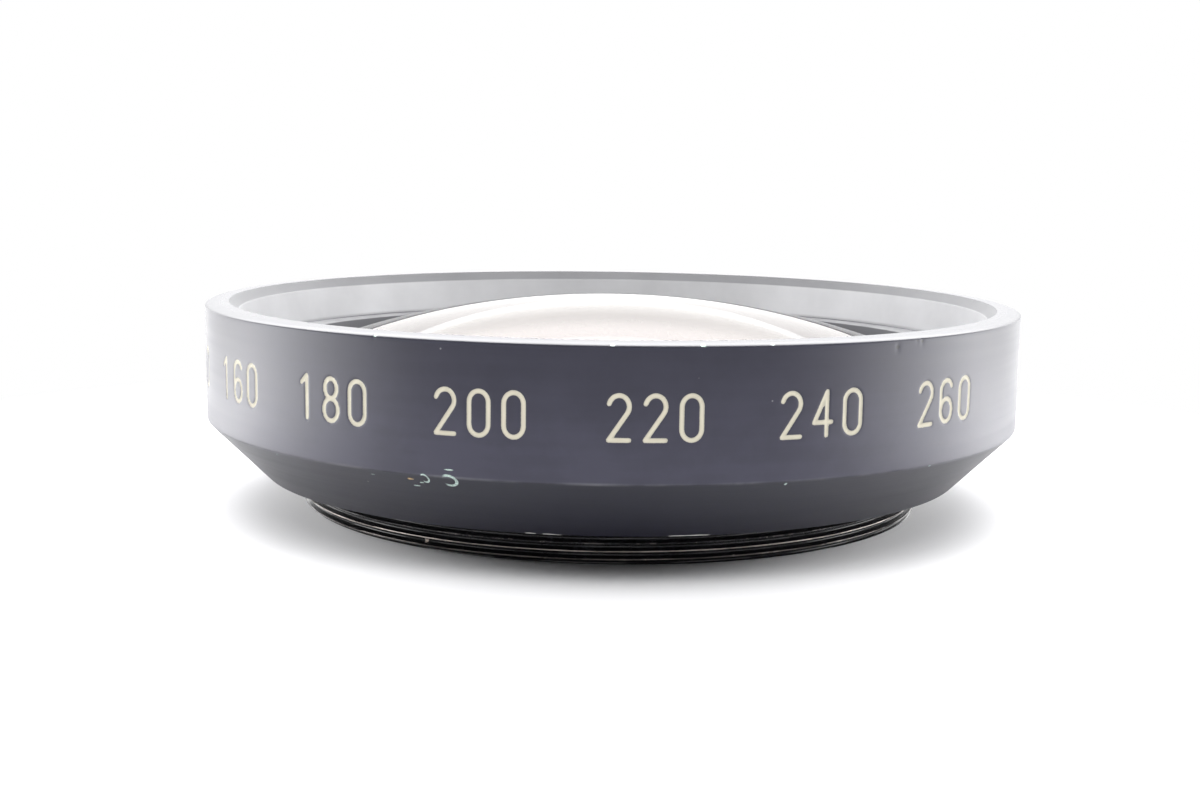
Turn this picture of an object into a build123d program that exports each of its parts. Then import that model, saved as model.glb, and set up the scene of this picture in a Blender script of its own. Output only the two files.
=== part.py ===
from build123d import *

import os
from math import sqrt, sin, cos, tan, radians

# A screw-in wide-angle conversion lens: a turned housing, one large negative
# meniscus loaded from the front, the slotted ring that clamps it, and the
# threaded ring that carries the whole on a camera lens.
# Millimetres. Z is the optical axis and points at the scene. Z = 0 is the rear
# end face of the mount ring. Sizes start at that ring's thread and work
# forwards and outwards, so each piece follows the one that it seats on.

# Mount ring
mount_thread_d = 66.9       # crests of a 67 mm filter thread
mount_thread_length = 2.7   # from the rear end face
mount_thread_lead = 0.26    # chamfer at the thread's start
mount_wall = 2.65           # crest to bore
mount_relief_depth = 0.6    # groove where the thread runs out
mount_relief_length = 1.0
mount_bore_chamfer = 0.4
mount_slot_width = 2.0      # two slots in the rear end face
mount_slot_depth = 1.2
mount_slot_margin = 0.55    # metal left between a slot and the relief groove
spigot_step = 1.55          # the spigot's thread stands out past the filter thread
spigot_height = 1.8         # screwed into the rear of the housing

# Glass
rear_radius = 47.0          # deep concave rear surface
front_radius = 98.5         # weak convex front surface
glass_thickness = 3.6       # on the axis
glass_bevel = 0.4           # protective bevels, front and rear
seat_width = 5.8            # ground rear annulus that lies on the flange
aperture_margin = 0.7       # the annulus starts inside the flange's bore

# Rear of the housing
flange_thickness = 1.5      # between the glass and the mount ring
flange_margin = 0.4         # the flange's bore is wider than the mount ring's
bevel_angle = 45.0          # of the conical bevel, from the axis
bevel_wall = 2.77           # metal between the cell's corner and the bevel
corner_break = 0.12         # edge breaks where the bevel begins and ends

# Retaining ring
retaining_height = 2.15     # from the outer edge of its land to its front face
retaining_land = 0.9        # width of the land that bears on the glass
retaining_overhang = 2.0    # thread past the edge of the glass
retaining_bore_angle = 25.0 # the bore opens towards the front, from the axis
retaining_slot_width = 1.6
retaining_slot_depth = 1.0

# Mouth and rim of the housing
thread_runout = 0.6         # free thread below the retaining ring
thread_lead = 0.3           # chamfer above that thread
mouth_angle = 12.0          # taper of the mouth's wall, from the axis
mouth_chamfer = 1.0         # 45 degree chamfer inside the rim
rim_flat = 2.1              # width of the flat front face
rim_edge_break = 0.3        # chamfer on the rim's outer edge
apex_proud = 0.24           # the glass stands this far out of the rim

# Clearances, on the radius unless a direction is named
glass_clearance = 0.08      # ground edge in its cell
thread_clearance = 0.03     # the two internal threads
land_clearance = 0.02       # along the normal, land to glass

# Mount ring, outwards from its thread
mount_thread_r = mount_thread_d / 2
mount_bore_r = mount_thread_r - mount_wall
mount_relief_r = mount_thread_r - mount_relief_depth
spigot_r = mount_thread_r + spigot_step
recess_r = spigot_r + thread_clearance

# Heights, forwards from the rear end face
underside_z = mount_thread_length + mount_relief_length
flange_bottom_z = underside_z + spigot_height
seat_z = flange_bottom_z + flange_thickness

# Glass on its seat
flange_bore_r = mount_bore_r + flange_margin
rear_aperture_r = flange_bore_r - aperture_margin
glass_r = flange_bore_r + seat_width
shoulder_r = glass_r - glass_bevel
rear_centre_z = seat_z - sqrt(rear_radius ** 2 - rear_aperture_r ** 2)
rear_apex_z = rear_centre_z + rear_radius
front_apex_z = rear_apex_z + glass_thickness
front_centre_z = front_apex_z - front_radius
shoulder_z = front_centre_z + sqrt(front_radius ** 2 - shoulder_r ** 2)

# Cell and thread around the glass
cell_r = glass_r + glass_clearance
retaining_r = glass_r + retaining_overhang
cell_thread_r = retaining_r + thread_clearance
cell_thread_z = shoulder_z - thread_runout
retaining_top_z = shoulder_z + retaining_height

# Mouth, rim and bevel
rim_z = front_apex_z - apex_proud
chamfer_foot_z = rim_z - mouth_chamfer
mouth_foot_r = cell_thread_r + thread_lead
chamfer_foot_r = mouth_foot_r + (chamfer_foot_z - retaining_top_z) * tan(radians(mouth_angle))
mouth_r = chamfer_foot_r + mouth_chamfer
housing_r = mouth_r + rim_flat + rim_edge_break
bevel_slope = tan(radians(bevel_angle))
bevel_offset = bevel_wall / cos(radians(bevel_angle))
underside_r = cell_r + bevel_offset - (seat_z - underside_z) * bevel_slope
bevel_top_z = underside_z + (housing_r - underside_r) / bevel_slope


def turned(*edges):
    """Solid of revolution about Z of the closed outline that the edges make."""
    return revolve(Plane.XZ * make_face(Curve() + list(edges)), Axis.Z)


def turned_points(*points):
    """Solid of revolution of a straight-sided outline of radius and height."""
    return turned(Polyline(*points, close=True))


def ball(radius, centre_z):
    """Sphere on the axis, its own poles turned sideways, clear of the lens faces."""
    return Pos(0, 0, centre_z) * Rot(0, 90, 0) * Sphere(radius)


def opposite_bars(width, inner_r, outer_r, low_z, high_z):
    """Two opposite bars along X, for slots that a pin spanner enters."""
    bar = Pos(inner_r, 0, low_z) * Box(
        outer_r - inner_r, width, high_z - low_z,
        align=(Align.MIN, Align.CENTER, Align.MIN),
    )
    return bar + Rot(0, 0, 180) * bar


def make_housing():
    """Turned barrel: rim, plain wall, bevel, seat flange and two threaded bores."""
    corner_in = corner_break * sin(radians(bevel_angle))
    corner_down = corner_break * cos(radians(bevel_angle))
    return turned_points(
        (mouth_r, rim_z),
        (housing_r - rim_edge_break, rim_z),
        (housing_r, rim_z - rim_edge_break),
        (housing_r, bevel_top_z + corner_break),
        (housing_r - corner_in, bevel_top_z - corner_down),
        (underside_r + corner_in, underside_z + corner_down),
        (underside_r - corner_break, underside_z),
        (recess_r, underside_z),
        (recess_r, flange_bottom_z),
        (flange_bore_r, flange_bottom_z),
        (flange_bore_r, seat_z),
        (cell_r, seat_z),
        (cell_r, cell_thread_z),
        (cell_thread_r, cell_thread_z),
        (cell_thread_r, retaining_top_z - thread_lead),
        (mouth_foot_r, retaining_top_z),
        (chamfer_foot_r, chamfer_foot_z),
    )


def make_glass():
    """Negative meniscus: a bevelled blank between a convex and a concave sphere."""
    crown = front_apex_z - seat_z
    blank = turned_points(
        (0, seat_z),
        (shoulder_r, seat_z),
        (glass_r, seat_z + glass_bevel),
        (glass_r, shoulder_z - glass_bevel),
        (shoulder_r - crown, shoulder_z + crown),
        (0, shoulder_z + crown),
    )
    front = ball(front_radius, front_centre_z)
    rear = ball(rear_radius, rear_centre_z)
    return blank & front - rear


def make_retaining_ring():
    """Threaded ring whose spherical land clamps the glass, with two spanner slots."""
    bore_r = shoulder_r - retaining_land
    land_radius = front_radius + land_clearance
    land_z = front_centre_z + sqrt(land_radius ** 2 - shoulder_r ** 2)
    bore_z = front_centre_z + sqrt(land_radius ** 2 - bore_r ** 2)
    top_bore_r = bore_r + (retaining_top_z - bore_z) * tan(radians(retaining_bore_angle))
    land = RadiusArc((shoulder_r, land_z), (bore_r, bore_z), -land_radius)
    rest = Polyline(
        (bore_r, bore_z),
        (top_bore_r, retaining_top_z),
        (retaining_r, retaining_top_z),
        (retaining_r, land_z),
        (shoulder_r, land_z),
    )
    slots = opposite_bars(
        retaining_slot_width,
        bore_r - retaining_overhang,
        retaining_r + retaining_overhang,
        retaining_top_z - retaining_slot_depth,
        retaining_top_z + retaining_slot_depth,
    )
    return turned(land, rest) - slots


def make_mount_ring():
    """Rear ring: male filter thread with its run-out groove, and a spigot above it."""
    ring = turned_points(
        (mount_bore_r + mount_bore_chamfer, 0),
        (mount_thread_r - mount_thread_lead, 0),
        (mount_thread_r, mount_thread_lead),
        (mount_thread_r, mount_thread_length),
        (mount_relief_r, mount_thread_length + mount_relief_depth),
        (mount_relief_r, underside_z),
        (spigot_r, underside_z),
        (spigot_r, flange_bottom_z),
        (mount_bore_r, flange_bottom_z),
        (mount_bore_r, mount_bore_chamfer),
    )
    slots = opposite_bars(
        mount_slot_width,
        mount_bore_r - mount_slot_depth,
        mount_relief_r - mount_slot_margin,
        -mount_slot_depth,
        mount_slot_depth,
    )
    return ring - slots


parts = {
    "housing": make_housing(),
    "front_glass": make_glass(),
    "retaining_ring": make_retaining_ring(),
    "mount_ring": make_mount_ring(),
}

os.makedirs("parts", exist_ok=True)
for name, solid in parts.items():
    export_step(solid, os.path.join("parts", name + ".step"))
    print(name, "volume", round(solid.volume), "mm3")
print("housing", round(2 * housing_r, 2), "mm across,", round(rim_z, 2), "mm to the rim")
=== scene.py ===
"""Looks of a screw-in wide-angle conversion lens, built around its packed CAD parts.

The frame is the CAD's: metres, Z is the optical axis and points at the scene,
Z = 0 is the rear end face of the mount ring. Azimuth 0 is the side that faces
the camera (-Y), and azimuth grows to the right (+X). Shapes are worked out in
millimetres, as arrays of a radius and a height over rows along a profile and
columns around the axis, and turned into metres when a mesh is made.
"""

from math import ceil, radians, tan

import bpy
import numpy as np
from bpy.props import FloatProperty, FloatVectorProperty, IntProperty, PointerProperty
from mathutils import Matrix, Vector


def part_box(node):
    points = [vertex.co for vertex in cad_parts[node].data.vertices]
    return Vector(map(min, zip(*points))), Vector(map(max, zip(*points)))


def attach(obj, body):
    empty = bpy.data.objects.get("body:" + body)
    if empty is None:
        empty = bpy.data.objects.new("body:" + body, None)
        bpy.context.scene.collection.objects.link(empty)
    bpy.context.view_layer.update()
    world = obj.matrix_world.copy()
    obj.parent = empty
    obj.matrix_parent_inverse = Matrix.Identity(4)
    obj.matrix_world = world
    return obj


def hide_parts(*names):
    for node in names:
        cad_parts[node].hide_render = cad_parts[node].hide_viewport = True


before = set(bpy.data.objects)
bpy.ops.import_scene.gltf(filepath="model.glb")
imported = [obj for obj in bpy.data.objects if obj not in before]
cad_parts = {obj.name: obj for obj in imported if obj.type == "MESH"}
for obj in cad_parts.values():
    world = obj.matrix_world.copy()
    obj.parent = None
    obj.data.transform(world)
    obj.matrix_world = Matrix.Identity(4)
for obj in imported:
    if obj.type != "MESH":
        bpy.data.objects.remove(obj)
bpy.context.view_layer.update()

bl_info = {
    "name": "Wide-angle conversion lens",
    "version": (1, 0, 0),
    "blender": (4, 5, 0),
    "location": "3D View > Sidebar > Conversion lens",
    "description": "Turned housing, meniscus glass, retaining ring and threaded mount",
    "category": "Add Mesh",
}

MM = 0.001
BODY = "root"


def cad_sizes(node):
    """Outer radius, lowest and highest point of a turned CAD node, in millimetres."""
    low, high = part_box(node)
    return high.x / MM, low.z / MM, high.z / MM


HOUSING_R, UNDERSIDE_Z, RIM_Z = cad_sizes("housing")
GLASS_R, SEAT_Z, APEX_Z = cad_sizes("front_glass")
RETAINING_R, _, RETAINING_TOP_Z = cad_sizes("retaining_ring")
SPIGOT_R, REAR_Z, FLANGE_BOTTOM_Z = cad_sizes("mount_ring")

# Turned sizes of the housing that its box does not give. All sizes are millimetres.
MOUTH_R, CROWN_WIDTH, CROWN_DROP = 41.11, 2.0, 0.42
CHAMFER_FOOT_R, CHAMFER_FOOT_Z = 40.11, 20.60
MOUTH_FOOT_R, THREAD_LEAD = 39.33, 0.3
CELL_THREAD_R, CELL_THREAD_Z = 39.03, 14.19
CELL_R, FLANGE_BORE_R, RECESS_R = 37.08, 31.2, 35.03
UNDERSIDE_R, BEVEL_TOP_Z = 37.70, 9.51

# Rounding of the housing's corners.
SHARP, LEAD_ROUND, EDGE_ROUND, FOOT_ROUND = 0, 0.03, 0.05, 0.06
RIM_ROUND, CHAMFER_ROUND, UNDERSIDE_ROUND, BEVEL_ROUND = 0.08, 0.10, 0.12, 0.30

# Turned sizes of the mount ring.
THREAD_R, THREAD_LENGTH, THREAD_CHAMFER = 33.45, 2.7, 0.26
RELIEF_R, MOUNT_BORE_R, MOUNT_BORE_CHAMFER = 32.85, 30.8, 0.4
MOUNT_SLOT_WIDTH, MOUNT_SLOT_DEPTH, MOUNT_SLOT_END_R = 2.0, 1.2, 32.3
MOUNT_SLOT_MIDDLE_R = MOUNT_BORE_R + 0.7

# Its thread: the crest's half width and the depth are shares of the pitch.
CREST_HALF_WIDTH, THREAD_DEPTH, FLANK_SLOPE = 1 / 16, 0.61, tan(radians(60))
THREAD_RUNOUT = 0.3     # beyond its length, where the helix ends on the slope to the groove
CREST_BLEND = 0.07      # distance from a crest's edge at which its wear ends
WEAR_DEPTH, WEAR_LEAD = 0.05, 0.1   # below the crest cylinder, and down the lead chamfer
BORE_ROWS = 0.05, 0.02  # spare rows inside the two ends of the bore

# Turned sizes of the retaining ring.
RETAINING_BORE_R, RETAINING_BORE_SLOPE, RETAINING_EDGE = 35.7, tan(radians(25)), 0.10
RETAINING_SLOT_WIDTH, RETAINING_SLOT_DEPTH = 1.6, 1.0
RETAINING_SLOT_MIDDLE_R = RETAINING_R - 1.5
LAND_CLEARANCE = 0.02   # from the ring's land to the glass

# Ground sizes of the glass.
FRONT_RADIUS, REAR_RADIUS, GLASS_THICKNESS = 98.5, 47.0, 3.6
SHOULDER_R, REAR_APERTURE_R, GLASS_BEVEL = 36.6, 30.5, 0.4
SEAT_LIFT = 0.004       # off the housing's seat, so that no two faces coincide
COATING_NANOMETRES, COATING_INDEX = 118.0, 1.38

# Mesh of the housing: longest steps along the profile and around the axis.
FINE_STEP, RIM_STEP, PLAIN_STEP, AROUND_STEP = 0.17, 0.35, 2.5, 0.70
FINE_MARGIN = 0.25      # fine mesh around a numeral
NICK_ZONE = 0.8         # fine mesh to either side of a nick, in degrees
OUTER_SKIN = 0.5        # what lies less deep than this belongs to the outer wall
SAME = 0.01             # sizes that differ by less are the same

# Mesh of the other pieces: rows of the glass's two spheres, of the land and of
# the thread, and degrees from column to column.
FRONT_ROWS, REAR_ROWS, LAND_ROWS, THREAD_ROWS = 36, 44, 5, 84
PIECE_TURN, THREAD_TURN, FLOOR_TURN = 1, 0.75, 5
# Rows of the rim's shoulder, points of a digit's arc, and probes to spread the columns.
CROWN_ROWS, ARC_POINTS, PROBES = 14, 15, 40001
MERGE_DISTANCE = 1e-8   # metres
SHARP_ANGLE = 50        # degrees between two faces, from which their edge is sharp

# Stage, in metres and degrees.
FLOOR_RADII, FLOOR_DROP = (0, 0.02, 0.05, 0.1, 0.3, 1, 4), 0.02 * MM
PAPER_FADE = (0.050, 0.11)      # radii between which the paper gives way to plain white
CEILING_FADE, CEILING_DIMMING = (0.55, 0.95), 0.7
CAMERA_PLACE = (0, -0.18006, 0.03722)
CAMERA_YAW, CAMERA_TILT, CAMERA_ROLL = 0.387, 8.509, 0.793
SENSOR_WIDTH, CAMERA_CLIP = 36.0, (0.01, 20.0)

# Lamps and reflected cards: place, aim, size and radiance.
TOP_SOFTBOX = (0, -0.05, 0.70), (0, 0, 0), (0.90, 0.90), 2.0
FRONT_SOFTBOX = (0, -0.38, 0.62), (0, 0, 0.02), (0.90, 0.30), 1.75
BACK_SOFTBOX = (0, 0.50, 0.26), (0, 0, 0.02), (0.90, 0.50), 2.2
BACK_CARD = (0, 0.60, 0.42), (0, 0, 0.42), (1.20, 0.80), 1.0
FLOOR_LAMPS = {
    "left_floor_lamp": ((-0.17, 0.10, 0.03), (0, 0.10, 0.03), (0.20, 0.06), 20),
    "right_floor_lamp": ((0.17, 0.10, 0.03), (0, 0.10, 0.03), (0.20, 0.06), 19),
}
SIDE_CARDS = {
    "left_card": ((-0.20, 0, 0.091), (0.20, 0, 0.641), (0.24, 0.31), 4.1),
    "right_card": ((0.20, 0, 0.091), (-0.20, 0, 0.641), (0.24, 0.31), 4.0),
}
POWER_PER_AREA = 4      # watts per square metre of a lamp, for a radiance of 1


# Sizes and colours that a user would change

LENGTH = {"unit": "LENGTH", "subtype": "DISTANCE"}
COLOUR = {"size": 3, "min": 0, "max": 1, "subtype": "COLOR"}


class EngravingSettings(bpy.types.PropertyGroup):
    """The painted numerals around the wall."""

    cap_height: FloatProperty(
        name="Cap height", description="Height of a numeral over its strokes",
        default=4.25 * MM, min=1 * MM, max=6 * MM, **LENGTH,
    )
    digit_width: FloatProperty(
        name="Digit width", description="Width of a numeral over its strokes",
        default=2.15 * MM, min=0.8 * MM, max=4 * MM, **LENGTH,
    )
    digit_gap: FloatProperty(
        name="Digit gap", description="Bare wall between two numerals",
        default=0.95 * MM, min=0.2 * MM, max=4 * MM, **LENGTH,
    )
    stroke_width: FloatProperty(
        name="Stroke width", description="Width of the engraver's cutter at the surface",
        default=0.42 * MM, min=0.1 * MM, max=1 * MM, **LENGTH,
    )
    depth: FloatProperty(
        name="Depth", description="Depth of a stroke at its middle, over the paint",
        default=0.11 * MM, min=0, max=0.3 * MM, **LENGTH,
    )
    base_height: FloatProperty(
        name="Base height", description="Height of the foot of the numerals",
        default=13.15 * MM, min=10 * MM, max=16 * MM, **LENGTH,
    )
    first_number: IntProperty(
        name="First number", description="Number at the left end of the scale",
        default=100, min=0, max=900,
    )
    number_step: IntProperty(
        name="Number step", description="From one number to the next", default=20, min=1, max=100,
    )
    number_count: IntProperty(
        name="Number count", description="Numbers in the scale", default=9, min=1, max=18,
    )
    first_azimuth: FloatProperty(
        name="First azimuth", description="Azimuth of the middle of the first number",
        default=radians(-115), unit="ROTATION", subtype="ANGLE",
    )
    azimuth_step: FloatProperty(
        name="Azimuth step", description="From the middle of one number to the next",
        default=radians(20), unit="ROTATION", subtype="ANGLE",
    )
    paint: FloatVectorProperty(
        name="Paint", description="Colour of the paint in the strokes",
        default=(0.70, 0.66, 0.53), **COLOUR,
    )


class HousingSettings(bpy.types.PropertyGroup):
    """Finish of the housing and of the ring in its mouth."""

    anodising: FloatVectorProperty(
        name="Anodising", description="Colour of the satin anodised outside",
        default=(0.006, 0.006, 0.017), **COLOUR,
    )
    # A bluish lift from handling, with painted light from the floor that is strongest at the foot
    # of the wall
    haze_and_floor_light: FloatVectorProperty(
        name="Haze", description="What handling adds to that colour, most at the foot of the wall",
        default=(0.038, 0.037, 0.054), **COLOUR,
    )
    # Pale grey of dust and of painted glare on the wall around the glass
    mouth_dust_and_painted_glare: FloatVectorProperty(
        name="Mouth film", description="Colour of the dusty film on the wall around the glass",
        default=(0.66, 0.66, 0.675), **COLOUR,
    )
    bare_metal: FloatVectorProperty(
        name="Bare metal", description="Colour of the aluminium where the anodising is gone",
        default=(0.50, 0.63, 0.58), **COLOUR,
    )
    roughness: FloatProperty(
        name="Roughness", description="Of the anodised outside", default=0.36, min=0, max=1,
        subtype="FACTOR",
    )
    ring_colour: FloatVectorProperty(
        name="Retaining ring", description="Colour of the dull ring that holds the glass",
        default=(0.12, 0.12, 0.13), **COLOUR,
    )


class MountSettings(bpy.types.PropertyGroup):
    """Thread and finish of the mount ring."""

    pitch: FloatProperty(
        name="Pitch", description="Axial distance from one thread crest to the next",
        default=0.75 * MM, min=0.5 * MM, max=1.5 * MM, **LENGTH,
    )
    crest_height: FloatProperty(
        name="Crest height", description="Height of the lowest crest on the camera's side",
        default=0.51 * MM, min=0, max=1 * MM, **LENGTH,
    )
    anodising: FloatVectorProperty(
        name="Anodising", description="Colour of the glossy ring",
        default=(0.011, 0.011, 0.013), **COLOUR,
    )
    crest_metal: FloatVectorProperty(
        name="Worn crest", description="Colour of the metal on a worn crest",
        default=(0.55, 0.49, 0.45), **COLOUR,
    )


class GlassSettings(bpy.types.PropertyGroup):
    """The meniscus and its coating."""

    refraction: FloatProperty(
        name="Refractive index", description="Of the glass", default=1.52, min=1.3, max=2,
    )
    edge_paint: FloatVectorProperty(
        name="Edge paint", description="Colour of the blackened ground edge",
        default=(0.012, 0.012, 0.013), **COLOUR,
    )


class StageSettings(bpy.types.PropertyGroup):
    """Floor, light and camera."""

    floor: FloatVectorProperty(
        name="Floor", description="Colour of the floor",
        default=(0.88, 0.88, 0.89), **COLOUR,
    )
    ambient: FloatProperty(
        name="Ambient", description="Light from all sides", default=0.15, min=0, max=2,
    )
    focal_length: FloatProperty(
        name="Focal length", description="Of the camera, in millimetres on a 36 mm sensor",
        default=49.30, min=10, max=200,
    )


# Nodes


class Nodes:
    """A value in a node tree. Arithmetic on it adds Math nodes."""

    def __init__(self, tree, socket=None):
        self.tree, self.socket = tree, socket

    def add(self, kind, settings=None, sockets=None, output=0):
        """Adds a node: its settings first, then the values or links of its sockets."""
        node = self.tree.nodes.new("ShaderNode" + kind)
        for name, value in (settings or {}).items():
            setattr(node, name, value)
        for name, value in (sockets or {}).items():
            if isinstance(value, Nodes):
                self.tree.links.new(value.socket, node.inputs[name])
            else:
                node.inputs[name].default_value = value
        return Nodes(self.tree, node.outputs[output] if len(node.outputs) else None)

    def math(self, operation, *terms):
        """The result of a Math node on these terms."""
        return self.add("Math", {"operation": operation}, dict(enumerate(terms)))

    def __add__(self, other):
        return self.math("ADD", self, other)

    def __sub__(self, other):
        return self.math("SUBTRACT", self, other)

    def __rsub__(self, other):
        return self.math("SUBTRACT", other, self)

    def __mul__(self, other):
        return self.math("MULTIPLY", self, other)

    __radd__, __rmul__ = __add__, __mul__

    def __abs__(self):
        return self.math("ABSOLUTE", self)

    def at_most(self, other):
        """The smaller of the two."""
        return self.math("MINIMUM", self, other)

    def at_least(self, other):
        """The larger of the two."""
        return self.math("MAXIMUM", self, other)

    def rise(self, low, high):
        """0 up to low, 1 from high on, and a smooth step between them."""
        return self.add(
            "MapRange", {"interpolation_type": "SMOOTHSTEP"},
            {"Value": self, "From Min": low, "From Max": high},
        )

    def mix(self, start, end):
        """The colour between start and end that this share picks.

        Sockets 6 and 7 are the Mix node's two colours, and output 2 is what they make.
        """
        return self.add(
            "Mix", {"data_type": "RGBA"},
            {0: self, 6: opaque(start), 7: opaque(end)}, output=2,
        )

    def noise(self, scale, detail, roughness):
        """Noise, between 0 and 1, over this vector."""
        return self.add(
            "TexNoise", {},
            {"Vector": self, "Scale": scale, "Detail": detail, "Roughness": roughness},
        )


def opaque(colour):
    """A colour with its alpha, or the link that it already is."""
    return colour if isinstance(colour, Nodes) else (*colour, 1.0)


def new_material(name):
    """An empty material and its tree."""
    material = bpy.data.materials.new(name)
    material.use_nodes = True
    material.node_tree.nodes.clear()
    return material, Nodes(material.node_tree)


def principled(tree, sockets):
    """Ends a material with one Principled surface."""
    surface = tree.add("BsdfPrincipled", {}, sockets)
    tree.add("OutputMaterial", {}, {"Surface": surface})


class Place:
    """Where a point of the surface lies: its vector, x, y, z, radius and azimuth."""

    def __init__(self, tree):
        self.vector = tree.add("TexCoord", output="Object")
        self.x, self.y, self.z = (
            tree.add("SeparateXYZ", {}, {"Vector": self.vector}, output=axis) for axis in range(3)
        )
        self.radius = tree.math("SQRT", self.x * self.x + self.y * self.y)
        self.azimuth = tree.math("ARCTAN2", self.x, self.y * -1)

    def turned_lines(self, fineness, streak, roughness=0.6):
        """Noise drawn out around the axis, as the tool of a lathe leaves it.

        It is fine over the radius and the height, and coarse over x, which grows
        along the lines on the side that faces the camera.
        """
        drawn_out = self.vector.add("CombineXYZ", {}, {
            0: self.radius * fineness, 1: self.z * fineness, 2: self.x * streak,
        })
        return drawn_out.noise(1.0, 3.0, roughness)


# Surfaces


def outline(corners, bend_steps=4, margin=0.04):
    """Closed outline with rounded corners, from rows of radius, height and rounding.

    Each corner becomes an arc that is tangent to both of its sides: it starts at
    the rounding divided by the tangent of half the corner's angle, and its centre
    lies on the corner's bisector. One more point beyond each end of the arc keeps
    the shading of the flat sides flat.
    """
    point, rounding = np.asarray(corners, float)[:, :2], np.asarray(corners, float)[:, 2:]
    back, ahead = np.roll(point, 1, axis=0) - point, np.roll(point, -1, axis=0) - point
    back /= np.linalg.norm(back, axis=1, keepdims=True)
    ahead /= np.linalg.norm(ahead, axis=1, keepdims=True)
    half = np.arccos(np.clip((back * ahead).sum(1, keepdims=True), -1, 1)) / 2
    cut = rounding / np.tan(half)
    bisector = back + ahead
    length = np.linalg.norm(bisector, axis=1, keepdims=True)
    bisector = bisector / np.where(length > 1e-6, length, 1)
    centre = point + bisector * rounding / np.sin(half)
    sweep = np.linspace(-1, 1, bend_steps) * (np.pi / 2 - half)
    side = np.cross(back, ahead)[:, None]
    across = np.where(side > 0, 1, -1) * np.stack([-bisector[:, 1], bisector[:, 0]], 1)
    arc = centre[:, None] + rounding[:, None] * (
        np.sin(sweep)[..., None] * across[:, None] - np.cos(sweep)[..., None] * bisector[:, None]
    )
    spare = margin * (rounding > 0)
    first, last = point + back * (cut + spare), point + ahead * (cut + spare)
    path = np.concatenate([first[:, None], arc, last[:, None]], axis=1).reshape(-1, 2)
    apart = np.linalg.norm(path - np.roll(path, 1, axis=0), axis=1) > 1e-5
    return path[apart]


def rim_crown():
    """Corners of the rim's outer shoulder, a quarter of an ellipse from its flat to the wall."""
    turn = np.radians(np.linspace(0, 90, CROWN_ROWS))
    radius = HOUSING_R - CROWN_WIDTH * (1 - np.sin(turn))
    height = RIM_Z - CROWN_DROP * (1 - np.cos(turn))
    return np.stack([radius, height, 0 * turn], 1).tolist()


def divided(path, steps):
    """Cuts each side of a closed outline into equal pieces, none longer than its step."""
    side = np.roll(path, -1, axis=0) - path
    count = np.maximum(1, np.ceil(np.hypot(*side.T) / steps)).astype(int)
    index = np.repeat(np.arange(len(path)), count)
    within = np.arange(count.sum()) - np.repeat(np.cumsum(count) - count, count)
    return path[index] + side[index] * (within / count[index])[:, None]


def azimuths(fine_zones, fine, coarse):
    """Azimuths around the whole turn, closer together inside the zones.

    The number of steps up to an azimuth is the integral of one over the step,
    and even numbers of steps are read back from it.
    """
    probe = np.linspace(-np.pi, np.pi, PROBES)
    inside = np.zeros(len(probe), bool)
    for low, high in fine_zones:
        inside |= (probe > low) & (probe < high)
    density = np.where(inside, 1 / fine, 1 / coarse)
    count = np.concatenate([[0], np.cumsum((density[1:] + density[:-1]) / 2 * np.diff(probe))])
    steps = ceil(count[-1])
    return np.interp(np.arange(steps) * count[-1] / steps, count, probe)


def even_azimuths(degrees):
    """Azimuths around the whole turn, all the same step apart."""
    return azimuths((), radians(degrees), radians(degrees))


def whole_rows(rows, azimuth):
    """Radius and height of rows whose values are one number, or one number per column."""
    spread = [[value + 0 * azimuth for value in row] for row in rows]
    return np.array(spread).transpose(1, 0, 2)


def turned_piece(name, radius, height, azimuth, closed=True, attributes=None, row_slot=None):
    """Mesh of a surface turned about Z, from a radius and a height per row and column.

    A point is (radius * sin(azimuth), -radius * cos(azimuth), height). Points that
    coincide, as at a pole or where a slot's edge has no width, are merged, and the
    faces that vanish are left out. The faces are turned to enclose a positive volume.
    """
    radius, height, azimuth = np.broadcast_arrays(radius, height, azimuth)
    grid = np.stack([radius * np.sin(azimuth), -radius * np.cos(azimuth), height], axis=-1) * MM
    rows, columns = radius.shape
    _, first, merged = np.unique(
        np.round(grid.reshape(-1, 3) / MERGE_DISTANCE).astype(np.int64),
        axis=0, return_index=True, return_inverse=True,
    )
    points = grid.reshape(-1, 3)[first]
    index = merged.reshape(rows, columns)
    here = index if closed else index[:-1]
    below = np.roll(index, -1, axis=0)[: len(here)]
    quads = np.stack(
        [here, np.roll(here, -1, axis=1), np.roll(below, -1, axis=1), below], axis=-1
    ).reshape(-1, 4)
    slot = np.repeat(np.zeros(rows, int) if row_slot is None else row_slot, columns)[: len(quads)]
    corner = points[quads]
    volume = np.einsum("ij,ij->", corner[:, 0], np.cross(corner[:, 1], corner[:, 2]))
    volume += np.einsum("ij,ij->", corner[:, 0], np.cross(corner[:, 2], corner[:, 3]))
    if volume < 0:
        quads = quads[:, ::-1]
    doubled = quads == np.roll(quads, -1, axis=1)
    whole, cut = doubled.sum(1) == 0, doubled.sum(1) == 1
    triangles = quads[cut][~doubled[cut]].reshape(-1, 3)
    mesh = bpy.data.meshes.new(name)
    mesh.from_pydata(points, [], quads[whole].tolist() + triangles.tolist(), shade_flat=False)
    mesh.polygons.foreach_set("material_index", np.concatenate([slot[whole], slot[cut]]))
    for title, values in (attributes or {}).items():
        layer = mesh.attributes.new(title, "FLOAT", "POINT")
        values = np.broadcast_to(values, radius.shape).reshape(-1)[first]
        layer.data.foreach_set("value", values.astype(np.float32))
    mesh.update()
    mesh.set_sharp_from_angle(angle=radians(SHARP_ANGLE))
    if mesh.validate():
        raise RuntimeError(f"the mesh of {name} had faults")
    piece = bpy.data.objects.new(name, mesh)
    bpy.context.scene.collection.objects.link(piece)
    return piece


def fit_piece(piece, node, slot, *materials):
    """The piece stands for its CAD node, which it hides, is attached to the body and wears its
    materials.
    """
    for material in materials:
        piece.data.materials.append(material)
    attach(piece, BODY)
    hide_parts(node)


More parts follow.
